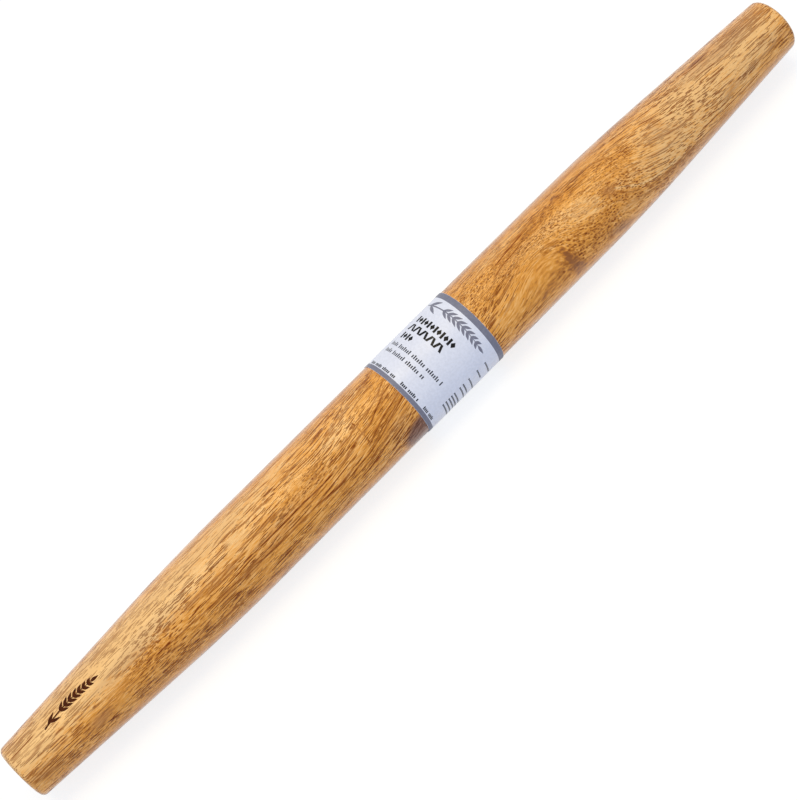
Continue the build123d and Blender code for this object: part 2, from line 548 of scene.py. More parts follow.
# Noises that follow the grain: length along it and width across it in mm, detail, part of the noise's endless
# pattern, and roughness
GRAIN_NOISES = {
    "broad": (110, 9, 2, 1, 0.5),
    "stripes": (34, 1.5, 3, 3, 0.6),
    "streaks": (14, 0.45, 2, 4, 0.5),
    "fibres": (4, 0.34, 2, 5, 0.5),
    "cloud": (15, 8, 2, 6, 0.5),
    "blush": (60, 5, 1, 7, 0.5),
    "crowd": (34, 5, 1, 8, 0.5),
    "wander": (12, 3, 1, 9, 0.5),
}

# Open pores: length and width in mm of the cells that they are scattered in, the noise that crowds them, two
# values of it, the pores' radius in their cells at each of these, and how dark they are
PORES = {
    "large": (10, 0.68, "crowd", 0.36, 0.62, 0.19, 0.29, 0.92),
    "small": (4.6, 0.56, "crowd", 0.44, 0.62, 0.12, 0.32, 0.88),
    "long": (46, 0.64, "stripes", 0.36, 0.62, 0.35, 0.23, 0.92),
    "threads": (26, 0.6, "cloud", 0.36, 0.6, 0.23, 0.33, 0.92),
    "dots": (1.5, 0.56, "crowd", 0.36, 0.62, 0.32, 0.42, 0.95),
}

# The wood's tone: its mean, how far the rings and each noise move it, and the tone of each colour
MEAN_TONE = 0.69
TONE_WEIGHTS = {"rings": 0.16, "broad": 0.26, "stripes": 0.18, "streaks": 0.5, "cloud": 0.13}
FIBRE_WEIGHT, PALE_LINE_WEIGHT = 1.15, 0.35
TONE_STOPS = {"brown": 0.16, "amber": 0.4, "honey": 0.6, "pale": 0.82, "cream": 1}

# How one thing changes with another, as where the change begins and ends, and the results there: how whole a
# drawn line is with the fibres, how lively the bands are with calm and with dots, how red the wood is with
# its noise, how dark the soft streaks are with theirs, and how much of its warm colour scorched wood shows
LINE_WHOLE = 0.34, 0.6, 1, 0.78
LIVELY_IN_CALM, LIVELY_IN_DOTS = (0.35, 0.95, 1, 0.3), (0, 1, 1, 0.6)
BLUSHING = 0.52, 0.8, 0, 0.22
SOFT_STREAKS = 0.4, 0.28, 0, 0.3
WARM_FIBRES = 0.42, 0.72, 0, 1

# How many pores a dark line keeps away, and the most of them that are dots
LINE_CLEARING, MOST_DOTS = 0.6, 0.75

# From one part of the noises' pattern to the next
NOISE_STEP = 7.3, 3.1, 5.7


def turn_gap(turn, place):
    """The angle in degrees from a place to each turn, the short way round."""
    return (np.degrees(turn) - place + 180) % 360 - 180


def bells(table, x, turn):
    """The sum of bell curves both ways, from rows of place, half length, half width and height."""
    total = np.zeros_like(x)
    for along, place, half_length, half_width, height in table:
        bell = ((x / MM - along) / half_length) ** 2 + (turn_gap(turn, place) / half_width) ** 2
        total += height * np.exp(-bell)
    return total


def grain_rise(x, turn):
    """How far round the pin the grain has moved from its straight line, in metres.

    The swell is a step up and a step down along the pin, each a hyperbolic tangent, times a bell curve round
    it. The bumps are added to it.
    """
    up = np.tanh((x / MM - SWELL_START) / SWELL_START_LENGTH)
    down = np.tanh((x / MM - SWELL_END) / SWELL_END_LENGTH)
    swell = SWELL_RISE * (up - down) / 2 * np.exp(-((turn_gap(turn, 0) / SWELL_WIDTH) ** 2))
    return (swell + bells(GRAIN_BUMPS, x, turn)) * MM


def patch_values(x, turn, radius):
    """Lightness, which is partly painted light and shade, redness and freedom from pores of the wood, summed
    over the patches.

    A patch is one at its middle, and falls off as the exponential of a power of the squared distance, in
    units of its ellipse. The power is how sharply it ends.
    """
    light, red, calm = np.zeros_like(x), np.zeros_like(x), np.zeros_like(x)
    for patch in WOOD_PATCHES:
        right = x / MM - patch.x
        up = np.radians(turn_gap(turn, patch.turn)) * radius / MM
        c, s = math.cos(math.radians(patch.slant)), math.sin(math.radians(patch.slant))
        lengthwise, crosswise = right * c + up * s, up * c - right * s
        ellipse = (lengthwise / patch.half_length) ** 2 + (crosswise / patch.half_width) ** 2
        weight = np.exp(-(ellipse**patch.edge))
        light += patch.light * weight
        red += patch.red * weight
        calm = np.maximum(calm, patch.calm * weight)
    return light, red, calm


def line_values(x, turn, radius):
    """Signed distance in metres to the nearest drawn grain line, and how dark that line is there.

    The distance to each straight run is that to its nearest point, and its sign is the side. The darkness
    fades away from the line and towards its two ends. How far a point is from an end is reckoned along the
    line, in the table's own numbers.
    """
    near, fade_end, fade_side = 5.0, 2.5, 1.0
    right, up_scale = x / MM, radius / MM
    best = np.full_like(x, near)
    darkness = np.zeros_like(x)
    for strength, *places in GRAIN_LINES:
        whole = sum(math.dist(a, b) for a, b in zip(places, places[1:]))
        before = 0.0
        for (x0, t0), (x1, t1) in zip(places, places[1:]):
            run_x, run_t = x1 - x0, math.radians(t1 - t0) * up_scale
            off_x, off_t = right - x0, np.radians(turn_gap(turn, t0)) * up_scale
            run = np.hypot(run_x, run_t)
            at = np.clip((off_x * run_x + off_t * run_t) / run**2, 0, 1)
            away = np.hypot(off_x - at * run_x, off_t - at * run_t)
            side = np.where(off_t * run_x - off_x * run_t < 0, -1.0, 1.0)
            step = math.dist((x0, t0), (x1, t1))
            from_end = np.minimum(before + at * step, whole - before - at * step)
            closer = away < np.abs(best)
            best = np.where(closer, side * away, best)
            dark = strength * np.clip(from_end / fade_end, 0, 1) * np.exp(-((away / fade_side) ** 2))
            darkness = np.where(closer, dark, darkness)
            before += step
    return best * MM, darkness


def wood_sheet(wires):
    """Colour, roughness, oil and height of the wood.

    Everything reads the grain attribute, in which the grain is straight, so noises that are long along the
    pin and narrow across it follow the real grain, and the ends show it cut across. Rings and broad clouds
    choose the wood's colour, fibres vary it, and pores and drawn lines are laid over it. The oil lies between
    the pores. Returns a socket for each.
    """
    wood = settings("wood")
    light, red, calm, fine, line_gap, line_dark = [wires.attribute(name) for name in WOOD_ATTRIBUTES]
    waver_length, waver_width, waver_reach = 15 * MM, 4 * MM, 0.55 * MM
    grain = wires.waver(wires.attribute("grain", "Vector"), waver_length, waver_width, waver_reach)
    noise = {"rings": wires.rings(grain)}
    for name, (along, across, detail, part, roughness) in GRAIN_NOISES.items():
        place = wires.stretch(grain, along * MM, across * MM)
        noise[name] = wires.noise(place, detail=detail, part=part, roughness=roughness)

    # A drawn line that is darker than the wood, and one that is paler
    sway, line_core, line_edge, line_strength = 0.5 * MM, 0.14 * MM, 0.54 * MM, 1.2
    gap = wires.scaled(noise["wander"], sway, wires.math("ADD", line_gap, -sway / 2))
    on_line = wires.span(wires.math("ABSOLUTE", gap), line_core, line_edge, line_strength, 0)
    whole = wires.span(noise["fibres"], *LINE_WHOLE)
    dark_line = wires.largest(line_dark, 0)
    pale_line = wires.product(on_line, wires.largest(wires.product(line_dark, -1), 0))
    drawn = wires.product(on_line, dark_line, whole)

    # Bands, streaks and clouds, quieter in calm patches and among short pores, and the fibres
    tone = wires.total(0, *((noise[name], weight) for name, weight in TONE_WEIGHTS.items()))
    lively = wires.product(wires.span(calm, *LIVELY_IN_CALM), wires.span(fine, *LIVELY_IN_DOTS))
    tone = wires.scaled(tone, lively, wires.total(MEAN_TONE, (noise["fibres"], FIBRE_WEIGHT)))
    # The patches' lightness moves the tone: partly the wood's own tone, partly painted light and shade.
    tone = wires.math("ADD", tone, light)
    tone = wires.scaled(pale_line, PALE_LINE_WEIGHT, tone)
    base = wires.ramp(tone, *((at, getattr(wood, name)) for name, at in TONE_STOPS.items()))
    blush = wires.math("ADD", wires.span(noise["blush"], *BLUSHING), red)
    base = wires.mix("MIX", wires.clamp(blush), base, wood.blush)

    # Open pores, fewer in calm patches and beside the drawn lines
    pores = {}
    for name, (along, across, crowding, low, high, at_low, at_high, darkness) in PORES.items():
        radius = wires.span(noise[crowding], low, high, at_low, at_high)
        pores[name] = wires.pores(grain, along * MM, across * MM, radius, darkness)
    dots = pores.pop("dots")
    free = wires.math("SUBTRACT", 1, wires.largest(calm, wires.product(dark_line, LINE_CLEARING)))
    soft = wires.span(noise["streaks"], *SOFT_STREAKS)
    scattered = wires.mix("MIX", wires.product(fine, MOST_DOTS), wires.largest(soft, *pores.values()), dots)
    open_pores = wires.clamp(wires.largest(wires.product(scattered, free), drawn))
    colour = wires.mix("MULTIPLY", open_pores, base, wood.pore)

    # The surface is rougher in the pores, which are holes, and its fibres and streaks stand up a little
    usual, uneven, rougher, fibre_height, streak_height = (0.3, 0.7), 0.05, 0.25, 0.25, 0.15
    smooth = wires.span(noise["stripes"], *usual, wood.roughness + uneven, wood.roughness - uneven)
    roughness = wires.scaled(open_pores, rougher, smooth)
    oil = wires.scaled(open_pores, -wood.oil, wood.oil)
    between = wires.total(0, (noise["fibres"], fibre_height), (noise["streaks"], streak_height))
    return colour, roughness, oil, wires.math("SUBTRACT", between, open_pores)


class Wires:
    """The nodes of a material or of the world, made and linked by short calls."""

    def __init__(self, owner):
        """Gives a material or world its nodes."""
        owner.use_nodes = True
        self.owner = owner
        self.tree = owner.node_tree
        self.shader = self.tree.nodes.get("Principled BSDF")

    def put(self, socket, value):
        """Links a socket to another, or sets its value."""
        if isinstance(value, bpy.types.NodeSocket):
            self.tree.links.new(value, socket)
        elif socket.type == "RGBA":
            socket.default_value = (*value[:3], 1.0)
        else:
            socket.default_value = value

    def add(self, kind, inputs=(), **options):
        """A node of that kind, with its options and its inputs set."""
        made = self.tree.nodes.new("ShaderNode" + kind)
        for name, value in options.items():
            setattr(made, name, value)
        for place, value in dict(inputs).items():
            self.put(made.inputs[place], value)
        return made

    def attribute(self, name, output="Fac"):
        """A value stored in the mesh."""
        return self.add("Attribute", attribute_name=name).outputs[output]

    def place(self):
        """Object coordinates."""
        return self.add("TexCoord").outputs["Object"]

    def math(self, operation, *values):
        """A Math node."""
        return self.add("Math", enumerate(values), operation=operation).outputs[0]

    def largest(self, first, *others):
        """The largest of some values."""
        for other in others:
            first = self.math("MAXIMUM", first, other)
        return first

    def product(self, first, *others):
        """Values multiplied together."""
        for other in others:
            first = self.math("MULTIPLY", first, other)
        return first

    def scaled(self, value, factor, start):
        """The value times the factor, plus the start."""
        return self.math("MULTIPLY_ADD", value, factor, start)

    def clamp(self, value):
        """The value, kept from 0 to 1."""
        return self.add("Clamp", {0: value}).outputs[0]

    def span(self, value, low, high, at_low, at_high):
        """Changes smoothly from one result to another while the value goes from low to high."""
        made = self.add("MapRange", interpolation_type="SMOOTHSTEP")
        for place, given in enumerate((value, low, high, at_low, at_high)):
            self.put(made.inputs[place], given)
        return made.outputs[0]

    def stretch(self, vector, along, across):
        """Coordinates in which one unit is a length along the pin and another across it."""
        scale = 1 / along, 1 / across, 1 / across
        return self.add("Mapping", {"Vector": vector, "Scale": scale}).outputs[0]

    def vector_math(self, operation, first, second):
        """A Vector Math node that returns a vector."""
        return self.add("VectorMath", {0: first, 1: second}, operation=operation).outputs[0]

    def noise(self, vector, detail=2, scale=1, part=0, roughness=0.5):
        """Noise about 0.5 at a place. The part picks another stretch of the endless pattern."""
        moved = self.vector_math("ADD", vector, [part * step for step in NOISE_STEP])
        inputs = {"Vector": moved, "Scale": scale, "Detail": detail, "Roughness": roughness}
        return self.add("TexNoise", inputs).outputs["Fac"]

    def waver(self, vector, along, across, amount):
        """The coordinates, moved a little to and fro across the grain."""
        made = self.add("TexNoise", {"Vector": self.stretch(vector, along, across), "Scale": 1, "Detail": 1})
        centred = self.vector_math("SUBTRACT", made.outputs["Color"], (0.5, 0.5, 0.5))
        return self.vector_math("ADD", vector, self.vector_math("MULTIPLY", centred, (0, amount, amount)))

    def rings(self, vector):
        """Noise that is even along the tree's rings: it reads the distance from the pith, and x."""
        parts = self.add("SeparateXYZ", {0: vector}).outputs
        from_pith = self.add("CombineXYZ", {1: parts[1], 2: parts[2]}).outputs[0]
        offset = self.vector_math("SUBTRACT", from_pith, (0, PITH_Y * MM, PITH_Z * MM))
        distance = self.add("VectorMath", {0: offset}, operation="LENGTH").outputs["Value"]
        place = self.add("CombineXYZ", {0: parts[0], 1: distance}).outputs[0]
        return self.noise(self.stretch(place, RING_LENGTH * MM, RING_GAP * MM))

    def pores(self, vector, along, across, radius, darkness):
        """How dark an open pore is: long thin ellipsoids scattered in the wood and cut by its surface."""
        dark_share = 0.92
        cells = self.add("TexVoronoi", {"Vector": self.stretch(vector, along, across), "Scale": 1})
        return self.span(cells.outputs["Distance"], self.product(radius, dark_share), radius, darkness, 0)

    def total(self, start, *parts):
        """A start, plus each noise's difference from 0.5 times its weight."""
        for noise, weight in parts:
            start = self.math("ADD", self.scaled(noise, weight, -weight / 2), start)
        return start

    def ramp(self, value, *stops):
        """Colours at given values, blended between them."""
        made = self.add("ValToRGB", {0: value})
        points = made.color_ramp.elements
        while len(points) < len(stops):
            points.new(0.5)
        for point, (at, shade) in zip(points, stops):
            point.position = at
            point.color = (*shade, 1.0)
        return made.outputs[0]

    def mix(self, mode, amount, first, second):
        """Two colours mixed. The node has sockets for other kinds of value too, so these have numbers."""
        made = self.add("Mix", {0: amount, 6: first, 7: second}, data_type="RGBA", blend_type=mode)
        return made.outputs[2]

    def bump(self, height, depth):
        """Bends the surface as the height does, over a depth in metres."""
        made = self.add("Bump", {"Height": height, "Distance": depth})
        self.put(self.shader.inputs["Normal"], made.outputs[0])

    def finish(self, **inputs):
        """Sets inputs of the shader by name, with underscores for spaces, and returns the material."""
        for name, value in inputs.items():
            self.put(self.shader.inputs[name.replace("_", " ")], value)
        return self.owner


def new_wires(name):
    """Wires of a new material."""
    return Wires(bpy.data.materials.new(name))


def oiled_wood():
    """Open-pored hardwood under a satin oil finish."""
    wires = new_wires("oiled_wood")
    colour, roughness, oil, height = wood_sheet(wires)
    wires.bump(height, settings("wood").pore_depth)
    wires.finish(Base_Color=colour, Roughness=roughness, IOR=1.5, Specular_IOR_Level=0.06)
    wires.finish(Coat_Weight=oil, Coat_Roughness=0.20, Coat_IOR=1.36)
    return wires.finish(Sheen_Weight=0.38, Sheen_Roughness=0.38, Sheen_Tint=(0.74, 0.88, 1.0))


def scorched_wood():
    """Wood burned by a hot stamp: dark, dull, and a little lighter where the fibres still show."""
    wires = new_wires("scorched_wood")
    fibre_length, fibre_width, fibre_depth, lighter = 3 * MM, 0.35 * MM, 0.05 * MM, 2
    fibres = wires.noise(wires.stretch(wires.place(), fibre_length, fibre_width))
    dark = settings("wood").scorch
    warm = [channel * lighter for channel in dark]
    colour = wires.mix("MIX", wires.span(fibres, *WARM_FIBRES), dark, warm)
    wires.bump(fibres, fibre_depth)
    return wires.finish(Base_Color=colour, Roughness=0.70, Specular_IOR_Level=0.10)


def coated_paper(name, shade, spread=0.03, shine=0.5):
    """Smooth coated paper or ink on it, with a faint mottle of fibres. The scales are lumps in a metre."""
    wires = new_wires(name)
    place, usual, depth = wires.place(), (0.35, 0.65), 0.02 * MM
    smoothest, roughest, mottle_height = 0.36, 0.46, 0.3
    mottle = wires.noise(place, detail=4, scale=900)
    pulp = wires.noise(place, scale=140, part=2)
    darker = [channel * (1 - 2 * spread) for channel in shade]
    colour = wires.mix("MIX", wires.span(mottle, *usual, 0, 1), darker, shade)
    wires.bump(wires.scaled(mottle, mottle_height, pulp), depth)
    roughness = wires.span(pulp, *usual, smoothest, roughest)
    return wires.finish(Base_Color=colour, Roughness=roughness, IOR=1.46, Specular_IOR_Level=shine)


def dried_glue():
    """Clear glue, dried a little yellow and uneven."""
    wires = new_wires("dried_glue")
    yellow, clear, depth = (0.86, 0.84, 0.74), (0.92, 0.91, 0.85), 0.03 * MM
    lumps = wires.noise(wires.place(), scale=300)
    colour = wires.mix("MIX", lumps, yellow, clear)
    wires.bump(lumps, depth)
    return wires.finish(Base_Color=colour, Roughness=0.25)


class TurnPin(bpy.types.Operator):
    """Turn the pin: one bar of wood with its barrel, shoulders, cones and rounded rims."""

    bl_idname = "rolling_pin.turn_pin"
    bl_label = "Turn the Pin"

    def execute(self, context):
        """The meridian of the pin is carried round its axis, and each end is closed at its middle."""
        columns = 144
        x, radius, inward = pin_meridian()
        turn = np.linspace(-math.pi, math.pi, columns, endpoint=False)
        rings_x, rings_turn = np.meshgrid(x[1:-1], turn, indexing="ij")
        rings_radius = np.repeat(radius[1:-1, None], columns, axis=1)
        rings = on_surface(rings_x, rings_turn, rings_radius).reshape(-1, 3)
        poles = np.array([[x[0], 0, 0], [x[-1], 0, 0]])
        count = len(rings)
        here, after = np.arange(columns), np.roll(np.arange(columns), -1)
        last = count - columns
        left_cap = np.stack([np.full(columns, count), after, here], axis=-1)
        right_cap = np.stack([np.full(columns, count + 1), last + here, last + after], axis=-1)
        sides = grid_faces(len(x) - 2, columns, wrap=True)
        made = make_object("pin_body_wood", np.concatenate([rings, poles]), [sides, left_cap, right_cap])
        share_out = np.repeat(inward[1:-1, None], columns, axis=1)
        self.mark_grain(made, rings_x, rings_turn, rings_radius, share_out, poles)
        self.mark_wood(made, rings_x, rings_turn, rings_radius, share_out)
        made.data.materials.append(oiled_wood())
        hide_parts("pin_body")
        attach(made, "pin")
        return {"FINISHED"}

    def mark_grain(self, made, x, turn, radius, share_out, poles):
        """Stores each point's own place, moved back to where the grain would be straight."""
        straight = turn - grain_rise(x, turn) / (settings("pin").barrel_diameter / 2)
        depth = radius - bells(GRAIN_DIVES, x, turn) * MM * share_out
        grain = on_surface(x, straight, depth).reshape(-1, 3)
        add_attribute(made, "grain", np.concatenate([grain, poles]))

    def mark_wood(self, made, x, turn, radius, share_out):
        """Stores the patches and lines, which end where the end faces begin, and the darker ends: end grain,
        and painted shade where the rims turn away.
        """
        side_begins, side_fade = 0.84, 0.06
        on_side = np.clip((share_out - side_begins) / side_fade, 0, 1)
        # The end faces and the inner part of their rims are darker: partly end grain, partly painted shade
        # where the rims turn away from the light.
        end_grain_and_rim_shade, end_begins, end_fade = -0.32, 0.92, 0.08
        on_end = np.clip((end_begins - share_out) / end_fade, 0, 1)
        light, red, calm = patch_values(x, turn, radius)
        fine = np.clip(bells(FINE_PORES, x, turn), 0, 1)
        gap, dark = line_values(x, turn, radius)
        light = light * on_side + end_grain_and_rim_shade * on_end
        stored = light, red * on_side, calm * on_side, fine * on_side, gap, dark * on_side
        for name, values in zip(WOOD_ATTRIBUTES, stored):
            add_attribute(made, name, np.concatenate([values.ravel(), [values[0, 0], values[-1, 0]]]))


# The paper band


def lap_angles():
    """Where the band's parts lie, as angles from +Y towards +Z.

    They are the start of the paper's inner end, the start of the climb over it, the end of the climb, and the
    lap's outer edge.
    """
    size = settings("band")
    bore, _, over, _ = band_radii()
    lap_end = size.lap_angle
    lap_start = lap_end - size.lap_length / over
    climb = math.acos(bore / over)
    return lap_start - 2 * math.pi, lap_start - climb, lap_start, lap_end


def band_radii():
    """Radii of the paper's faces: bore, outside of one layer, inside and outside of the layer on the glue."""
    size = settings("band")
    bore = settings("pin").barrel_diameter / 2 + size.clearance
    sheet = size.paper_thickness - 2 * size.ink_height
    over = bore + size.paper_thickness + size.glue_thickness
    return bore, bore + sheet, over, over + sheet


def paper_faces(around, x):
    """Radii of the inner and the outer face of the paper at an angle from +Y towards +Z and at x.

    Each face is a circle until the climb, then the straight line that touches that circle, which is its
    radius over the cosine of the angle past the climb's start, until it reaches the circle over the glue. The
    outer face dips a little in gentle waves, the square of the product of two sines. Each runs slantwise,
    by so many waves round the pin and so much angle for each metre along it.
    """
    bore, under, over, top = band_radii()
    climb = lap_angles()[1]
    past = np.clip(around - climb, 0, math.pi / 4)
    steep_round, steep_along, shallow_round, shallow_along, shift = 5, 260, 3, 150, 1
    steep = np.sin(steep_round * around + steep_along * x)
    shallow = np.sin(shallow_along * x + shallow_round * around + shift)
    dip = settings("band").ripple * (steep * shallow) ** 2
    inner = np.minimum(bore / np.cos(past), over)
    outer = np.minimum(under / np.cos(past), top)
    return inner, outer - dip


def on_paper(turn, x, lift):
    """Points on the band's outside, at a turn from the printed front, raised by a lift.

    The turn is brought to the angle of the outer layer, which runs one turn back from the lap's edge.
    """
    lap_end = lap_angles()[3]
    around = math.pi - settings("band").front_angle - turn
    around = lap_end - (lap_end - around) % (2 * math.pi)
    radius = paper_faces(around, x)[1] + lift
    return on_surface(x, turn, radius)


class WrapBand(bpy.types.Operator):
    """Wrap the paper band: one strip, once round the barrel, lapped over its own inner end."""

    bl_idname = "rolling_pin.wrap_band"
    bl_label = "Wrap the Band"

    def execute(self, context):
        """The strip's two faces are grids of angle and x, joined along its four edges."""
        start, _, _, end = lap_angles()
        steps, columns = 480, 56
        angles, places = np.linspace(start, end, steps), np.linspace(band_low.x, band_high.x, columns)
        around, x = np.meshgrid(angles, places, indexing="ij")
        sheets = []
        for radius in reversed(paper_faces(around, x)):
            sheet = np.stack([x, radius * np.cos(around), radius * np.sin(around)], axis=-1)
            sheets.append(sheet.reshape(-1, 3))
        count = steps * columns
        skin = grid_faces(steps, columns)
        corner = np.arange(count).reshape(steps, columns)
        rims = []
        for line in (corner[:, 0], corner[::-1, -1], corner[-1, :], corner[0, ::-1]):
            rims.append(np.stack([line[:-1] + count, line[1:] + count, line[1:], line[:-1]], axis=-1))
        faces = [skin[:, ::-1], skin + count, *rims]
        made = make_object("paper_band_sheet", np.concatenate(sheets), faces)
        made.data.materials.append(coated_paper("printed_paper", settings("print").paper))
        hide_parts("paper_band")
        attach(made, "band")
        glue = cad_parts["lap_glue"]
        glue.data.materials.clear()
        glue.data.materials.append(dried_glue())
        return {"FINISHED"}


# The print. A place on it is u, in mm round the pin in the reading direction, which is towards a lower turn,
# from the printed front, and v, in mm along the pin from its middle. The functions below take one number or
# an array for each value, and return a grid of u and v for each shape


def each(*values):
    """The values of every shape, as arrays that spread over the shapes' grids."""
    return np.array(np.broadcast_arrays(*values), float)[:, :, None, None]


def unit_grid(rows, columns, start=-0.5):
    """Two grids of shares that grow evenly by one, down the rows from a start and across them from -0.5."""
    down, across = np.linspace(start, start + 1, rows), np.linspace(-0.5, 0.5, columns)
    return np.meshgrid(down, across, indexing="ij")


def bars(u, v, width, height):
    """Upright bars, cut across u to follow the curve."""
    u, v, width, height = each(u, v, width, height)
    along, up = unit_grid(8, 2)
    return np.stack([u + width * along, v + height * up], axis=-1)


def diamonds(u, v, width, height):
    """Diamonds: bars whose height falls off evenly from the middle."""
    u, v, width, height = each(u, v, width, height)
    along, up = unit_grid(7, 3)
    return np.stack([u + width * along, v + height * up * (1 - 2 * np.abs(along))], axis=-1)


def slanted(u, v, width, height, lean):
    """Slanted bars: the lean is how far the top lies along u from the foot."""
    u, v, width, height, lean = each(u, v, width, height, lean)
    along, up = unit_grid(3, 6)
    return np.stack([u + width * along + lean * up, v + height * up], axis=-1)


def small_print(first, last, foot, pitch, width, heights, tall_every, word, gap):
    """Small bars from a first u to a last, which stand on v = foot.

    Heights are those of a tall bar, one in so many, and of a short one. Of each word's worth of bars, the one
    whose number is the gap is left out.
    """
    numbers = np.arange(int((last - first) / pitch))
    numbers = numbers[numbers % word != gap]
    height = np.where(numbers % tall_every == 0, *heights)
    return bars(first + pitch * numbers, foot + height / 2, width, height)


def grains(u, v, reach, width, slant, rows=9):
    """Grains of wheat, each from its base at u and v, with its reach, width and slant in degrees.

    A grain's half width along its reach is a sine with its fullest part a little below the middle.
    """
    u, v, reach, width, slant = each(u, v, reach, width, np.radians(slant))
    along, across = unit_grid(rows, 5, start=0)
    low_belly = 0.8
    out = reach * along
    side = width * across * np.sin(math.pi * along**low_belly)
    c, s = np.cos(slant), np.sin(slant)
    return np.stack([u + out * c - side * s, v + out * s + side * c], axis=-1)


def stem(u, v, reach, bend, width):
    """A stalk along u from its foot at u and v, which bows sideways by half a sine and tapers to its tip."""
    taper = 0.6
    along, across = unit_grid(40, 3, start=0)
    bowed = v + bend * np.sin(math.pi * along) + width * across * (1 - taper * along)
    return np.stack([u + reach * along, bowed], axis=-1)[None]


def ear(u, v, reach, bend, pairs, grain_reach, grain_width):
    """An ear of wheat on a bowed stalk: pairs of grains that lean out on both sides, and one at the tip."""
    first_share, last_share, tip_share = 0.34, 0.90, 0.96
    lean, shorter, stem_width = 33, 0.30, 0.75
    shares = np.append(np.linspace(first_share, last_share, pairs), tip_share)
    slope = np.degrees(np.arctan2(bend * math.pi * np.cos(math.pi * shares[:-1]), reach))
    grain_u, grain_v = u + reach * shares, v + bend * np.sin(math.pi * shares)
    size = grain_reach * (1 - shorter * np.linspace(0, 1, pairs) ** 2)
    return [
        stem(u, v, reach, bend, stem_width),
        grains(grain_u[:-1], grain_v[:-1], size, grain_width, slope + lean),
        grains(grain_u[:-1], grain_v[:-1], size, grain_width, slope - lean),
        grains(grain_u[-1:], grain_v[-1:], grain_reach, grain_width, slope[-1]),
    ]


def lay_print(name, shapes, place, material, body):
    """One object from grids of u and v, each laid on a surface by place."""
    points, faces, count = [], [], 0
    for grid in shapes:
        copies, rows, columns, _ = grid.shape
        laid = place(grid[..., 0] * MM, grid[..., 1] * MM).reshape(-1, 3)
        starts = count + np.arange(copies)[:, None, None] * rows * columns
        points.append(laid)
        faces.append((grid_faces(rows, columns) + starts).reshape(-1, 4))
        count += len(laid)
    made = make_object(name, np.concatenate(points), faces)
    made.data.materials.append(material)
    outward(made)
    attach(made, body)


def outward(made):
    """Turns faces that point towards the pin's axis."""
    mesh = made.data
    centre, normal = np.zeros((2, len(mesh.polygons) * 3))
    mesh.polygons.foreach_get("center", centre)
    mesh.polygons.foreach_get("normal", normal)
    inward = (centre.reshape(-1, 3)[:, 1:] * normal.reshape(-1, 3)[:, 1:]).sum(axis=1) < 0
    for face in np.flatnonzero(inward):
        mesh.polygons[int(face)].flip()
    mesh.update()


def on_band(u, v):
    """A place of the print on the paper."""
    barrel = settings("pin").barrel_diameter / 2
    return on_paper(-u / barrel, v, settings("band").ink_height)


